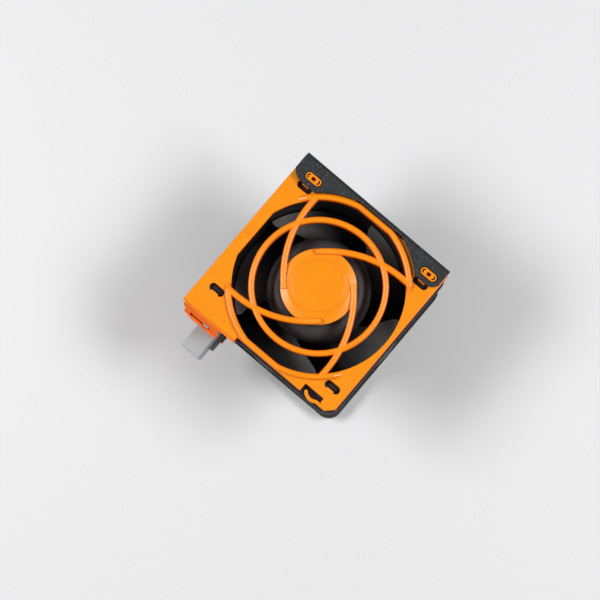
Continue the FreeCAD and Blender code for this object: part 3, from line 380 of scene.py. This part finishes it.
def laminationLook():
    s = Shader("coreSteel")
    _, _, height = s.axes()
    cloud = s.noise(lamination["cloud"], 3.0)
    layers = (height * (2.0 * math.pi / lamination["sheet"])).calc("SINE")
    tone = s.blend(layers.ramp(-0.9, -0.4), lamination["gap"], lamination["steel"])
    tone = s.blend(cloud.ramp(0.55, 0.75) * lamination["rustShare"], tone, lamination["rust"])
    normal = s.bump(layers, lamination["depth"], 0.8, s.edgeNormal(lamination["edge"]))
    rough = lamination["roughness"] + cloud * lamination["roughCloud"]
    return s.finish(tone, rough, normal, metal=0.9)


def magnetLook():
    s = Shader("magnetFerrite")
    cloud = s.noise(magnet["cloud"], 3.0)
    tone = s.blend(cloud, magnet["dark"], magnet["light"])
    normal = s.bump(s.noise(magnet["grit"], 3.0, 0.7), magnet["depth"], 0.8, s.edgeNormal(magnet["edge"]))
    return s.finish(tone, magnet["roughness"] + cloud * magnet["roughCloud"], normal)


def windingLook():
    s = Shader("coilCopper")
    x, y, _ = s.axes()
    turns = ((x.calc("ABSOLUTE") + y.calc("ABSOLUTE")) * (2.0 * math.pi / winding["wire"])).calc("SINE")
    cloud = s.noise(winding["cloud"], 3.0)
    tone = s.blend(turns.ramp(-0.9, 0.3), winding["gap"], winding["wireTone"])
    tone = s.blend(cloud * winding["brightShare"], tone, winding["bright"])
    normal = s.bump(turns, winding["depth"], 0.9, s.edgeNormal(winding["edge"]))
    rough = winding["roughness"] + cloud * winding["roughCloud"]
    return s.finish(tone, rough, normal, metal=0.85, gloss=winding["gloss"])


def naturalPlasticLook(name, colour):
    s = Shader(name)
    cloud = s.noise(naturalPlastic["cloud"], 3.0)
    tone = s.blend(cloud, scaled(colour, 0.9), scaled(colour, 1.06))
    normal = s.bump(s.noise(naturalPlastic["grain"]), naturalPlastic["depth"], 0.6,
                    s.edgeNormal(naturalPlastic["edge"]))
    return s.finish(tone, naturalPlastic["roughness"] + cloud * naturalPlastic["roughCloud"], normal)


def boardLook():
    s = Shader("boardLaminate")
    weave = s.noise(board["weave"], 2.0, 0.6, stretch=(1.0, 0.25, 1.0))
    weave = weave + s.noise(board["weave"], 2.0, 0.6, stretch=(0.25, 1.0, 1.0))
    copper = s.noise(board["tracks"], 1.0, 0.3).ramp(0.53, 0.55)
    tone = s.blend(copper, board["mask"], board["track"])
    tone = s.blend(weave.ramp(0.9, 1.3) * board["weaveShare"], tone, board["weaveTone"])
    normal = s.bump(copper + weave * 0.2, board["depth"], 0.6)
    return s.finish(tone, board["roughness"] + weave * board["roughWeave"], normal, gloss=board["gloss"])


def chipLook():
    s = Shader("chipPackage")
    cloud = s.noise(chip["cloud"], 3.0)
    tone = s.blend(cloud, chip["dark"], chip["light"])
    normal = s.bump(s.noise(chip["grain"]), chip["depth"], 0.7, s.edgeNormal(chip["edge"]))
    return s.finish(tone, chip["roughness"] + cloud * chip["roughCloud"], normal)


def labelLook():
    s = Shader("labelFilm")
    cloud = s.noise(label["cloud"], 3.0)
    fibre = s.noise(label["fibre"], 2.0, 0.6, stretch=(0.2, 1.0, 1.0))
    line = s.radius().ramp(*label["lineIn"]) * s.radius().ramp(*label["lineOut"])
    tone = s.blend(cloud, label["low"], label["high"])
    tone = s.blend(line * label["lineShare"], tone, label["line"])
    normal = s.bump(fibre, label["depth"], 0.5)
    rough = label["roughness"] + cloud * label["roughCloud"]
    return s.finish(tone, rough, normal, gloss=label["gloss"])


dress(laminationLook(), "stator_core")
dress(magnetLook(), "rotor_magnet")
dress(windingLook(), "stator_coils")
dress(naturalPlasticLook("insulatorPlastic", naturalPlastic["insulator"]),
      "front_insulator", "rear_insulator")
dress(naturalPlasticLook("cagePlastic", naturalPlastic["cage"]),
      "front_bearing_cage", "rear_bearing_cage")
dress(boardLook(), "circuit_board")
dress(chipLook(), "driver_chip", "hall_sensor", "chip_resistors")
dress(labelLook(), "motor_label")
print("motor dressed")

# floor, lights and camera
floor = {"colour": (0.80, 0.80, 0.81), "cloud": 6.0, "reach": 3.0, "lines": 13, "drop": 0.0001,
         "roughness": 0.7, "specular": 0.2}
view = {"right": (0.7624, 0.64655, -0.02694), "down": (0.63987, -0.75943, -0.11761),
        "forward": (-0.09651, 0.07243, -0.99269), "stand": (0.044389, -0.041697, 0.514392),
        "lens": 90.0, "sensor": 36.0, "clipStart": 0.02}
lights = {"sky": 0.18, "target": (0.0, 0.0, 0.02), "size": (0.42, 0.22), "reach": 0.75,
          "lamps": {"lampLeft": {"bearing": 175.0, "tilt": 46.0, "power": 3.8},
                    "lampRight": {"bearing": -3.0, "tilt": 44.0, "power": 3.6}}}


def makeFloor():
    # a level square, cut into a grid of equal faces just below the part
    side = np.linspace(-floor["reach"], floor["reach"], floor["lines"])
    x, y = np.meshgrid(side, side, indexing="ij")
    points = np.stack([x, y, np.full_like(x, -floor["drop"])], axis=-1).reshape(-1, 3)
    count = len(side)
    corner = (np.arange(count - 1)[:, None] * count + np.arange(count - 1)).ravel()
    faces = np.stack([corner, corner + count, corner + count + 1, corner + 1], axis=1)
    mesh = bpy.data.meshes.new("floor")
    mesh.from_pydata(points.tolist(), [], faces.tolist())
    piece = bpy.data.objects.new("floor", mesh)
    bpy.context.scene.collection.objects.link(piece)
    s = Shader("floorPaint")
    cloud = s.noise(floor["cloud"], 3.0)
    s.body.inputs["Roughness"].default_value = floor["roughness"]
    s.body.inputs["Specular IOR Level"].default_value = floor["specular"]
    tone = s.blend(cloud, scaled(floor["colour"], 0.985), floor["colour"])
    s.tree.links.new(tone.link, s.body.inputs["Base Color"])
    mesh.materials.append(s.material)


def sideLamp(name, lamp):
    # the bearing is counted from the camera's right and the tilt from straight up, both in degrees
    right = Vector(view["right"])
    upward = -Vector(view["down"])
    right.z = upward.z = 0.0
    bearing = math.radians(lamp["bearing"])
    tilt = math.radians(lamp["tilt"])
    way = right.normalized() * math.cos(bearing) + upward.normalized() * math.sin(bearing)
    place = way * (lights["reach"] * math.sin(tilt))
    place.z = lights["reach"] * math.cos(tilt)
    light = bpy.data.lights.new(name, "AREA")
    light.shape = "RECTANGLE"
    light.size, light.size_y = lights["size"]
    light.energy = lamp["power"]
    holder = bpy.data.objects.new(name, light)
    bpy.context.scene.collection.objects.link(holder)
    holder.location = place
    aim = Vector(lights["target"]) - place
    holder.rotation_euler = aim.to_track_quat("-Z", "Y").to_euler()


def makeWorld():
    world = bpy.data.worlds.new("studio")
    bpy.context.scene.world = world
    world.use_nodes = True
    background = world.node_tree.nodes["Background"]
    background.inputs["Color"].default_value = (1.0, 1.0, 1.0, 1.0)
    background.inputs["Strength"].default_value = lights["sky"]


def makeCamera():
    lens = bpy.data.cameras.new("camera")
    lens.lens = view["lens"]
    lens.sensor_width = view["sensor"]
    lens.clip_start = view["clipStart"]
    camera = bpy.data.objects.new("camera", lens)
    bpy.context.scene.collection.objects.link(camera)
    # columns: right, up, back and place
    right, down, forward, stand = (view[k] for k in ("right", "down", "forward", "stand"))
    rows = [(right[k], -down[k], -forward[k], stand[k]) for k in range(3)]
    camera.matrix_world = Matrix(rows + [(0.0, 0.0, 0.0, 1.0)])
    bpy.context.scene.camera = camera


makeFloor()
makeWorld()
for lampName, lamp in lights["lamps"].items():
    sideLamp(lampName, lamp)
makeCamera()
bpy.context.scene.view_settings.view_transform = "Standard"
print("studio set")

bpy.context.view_layer.update()
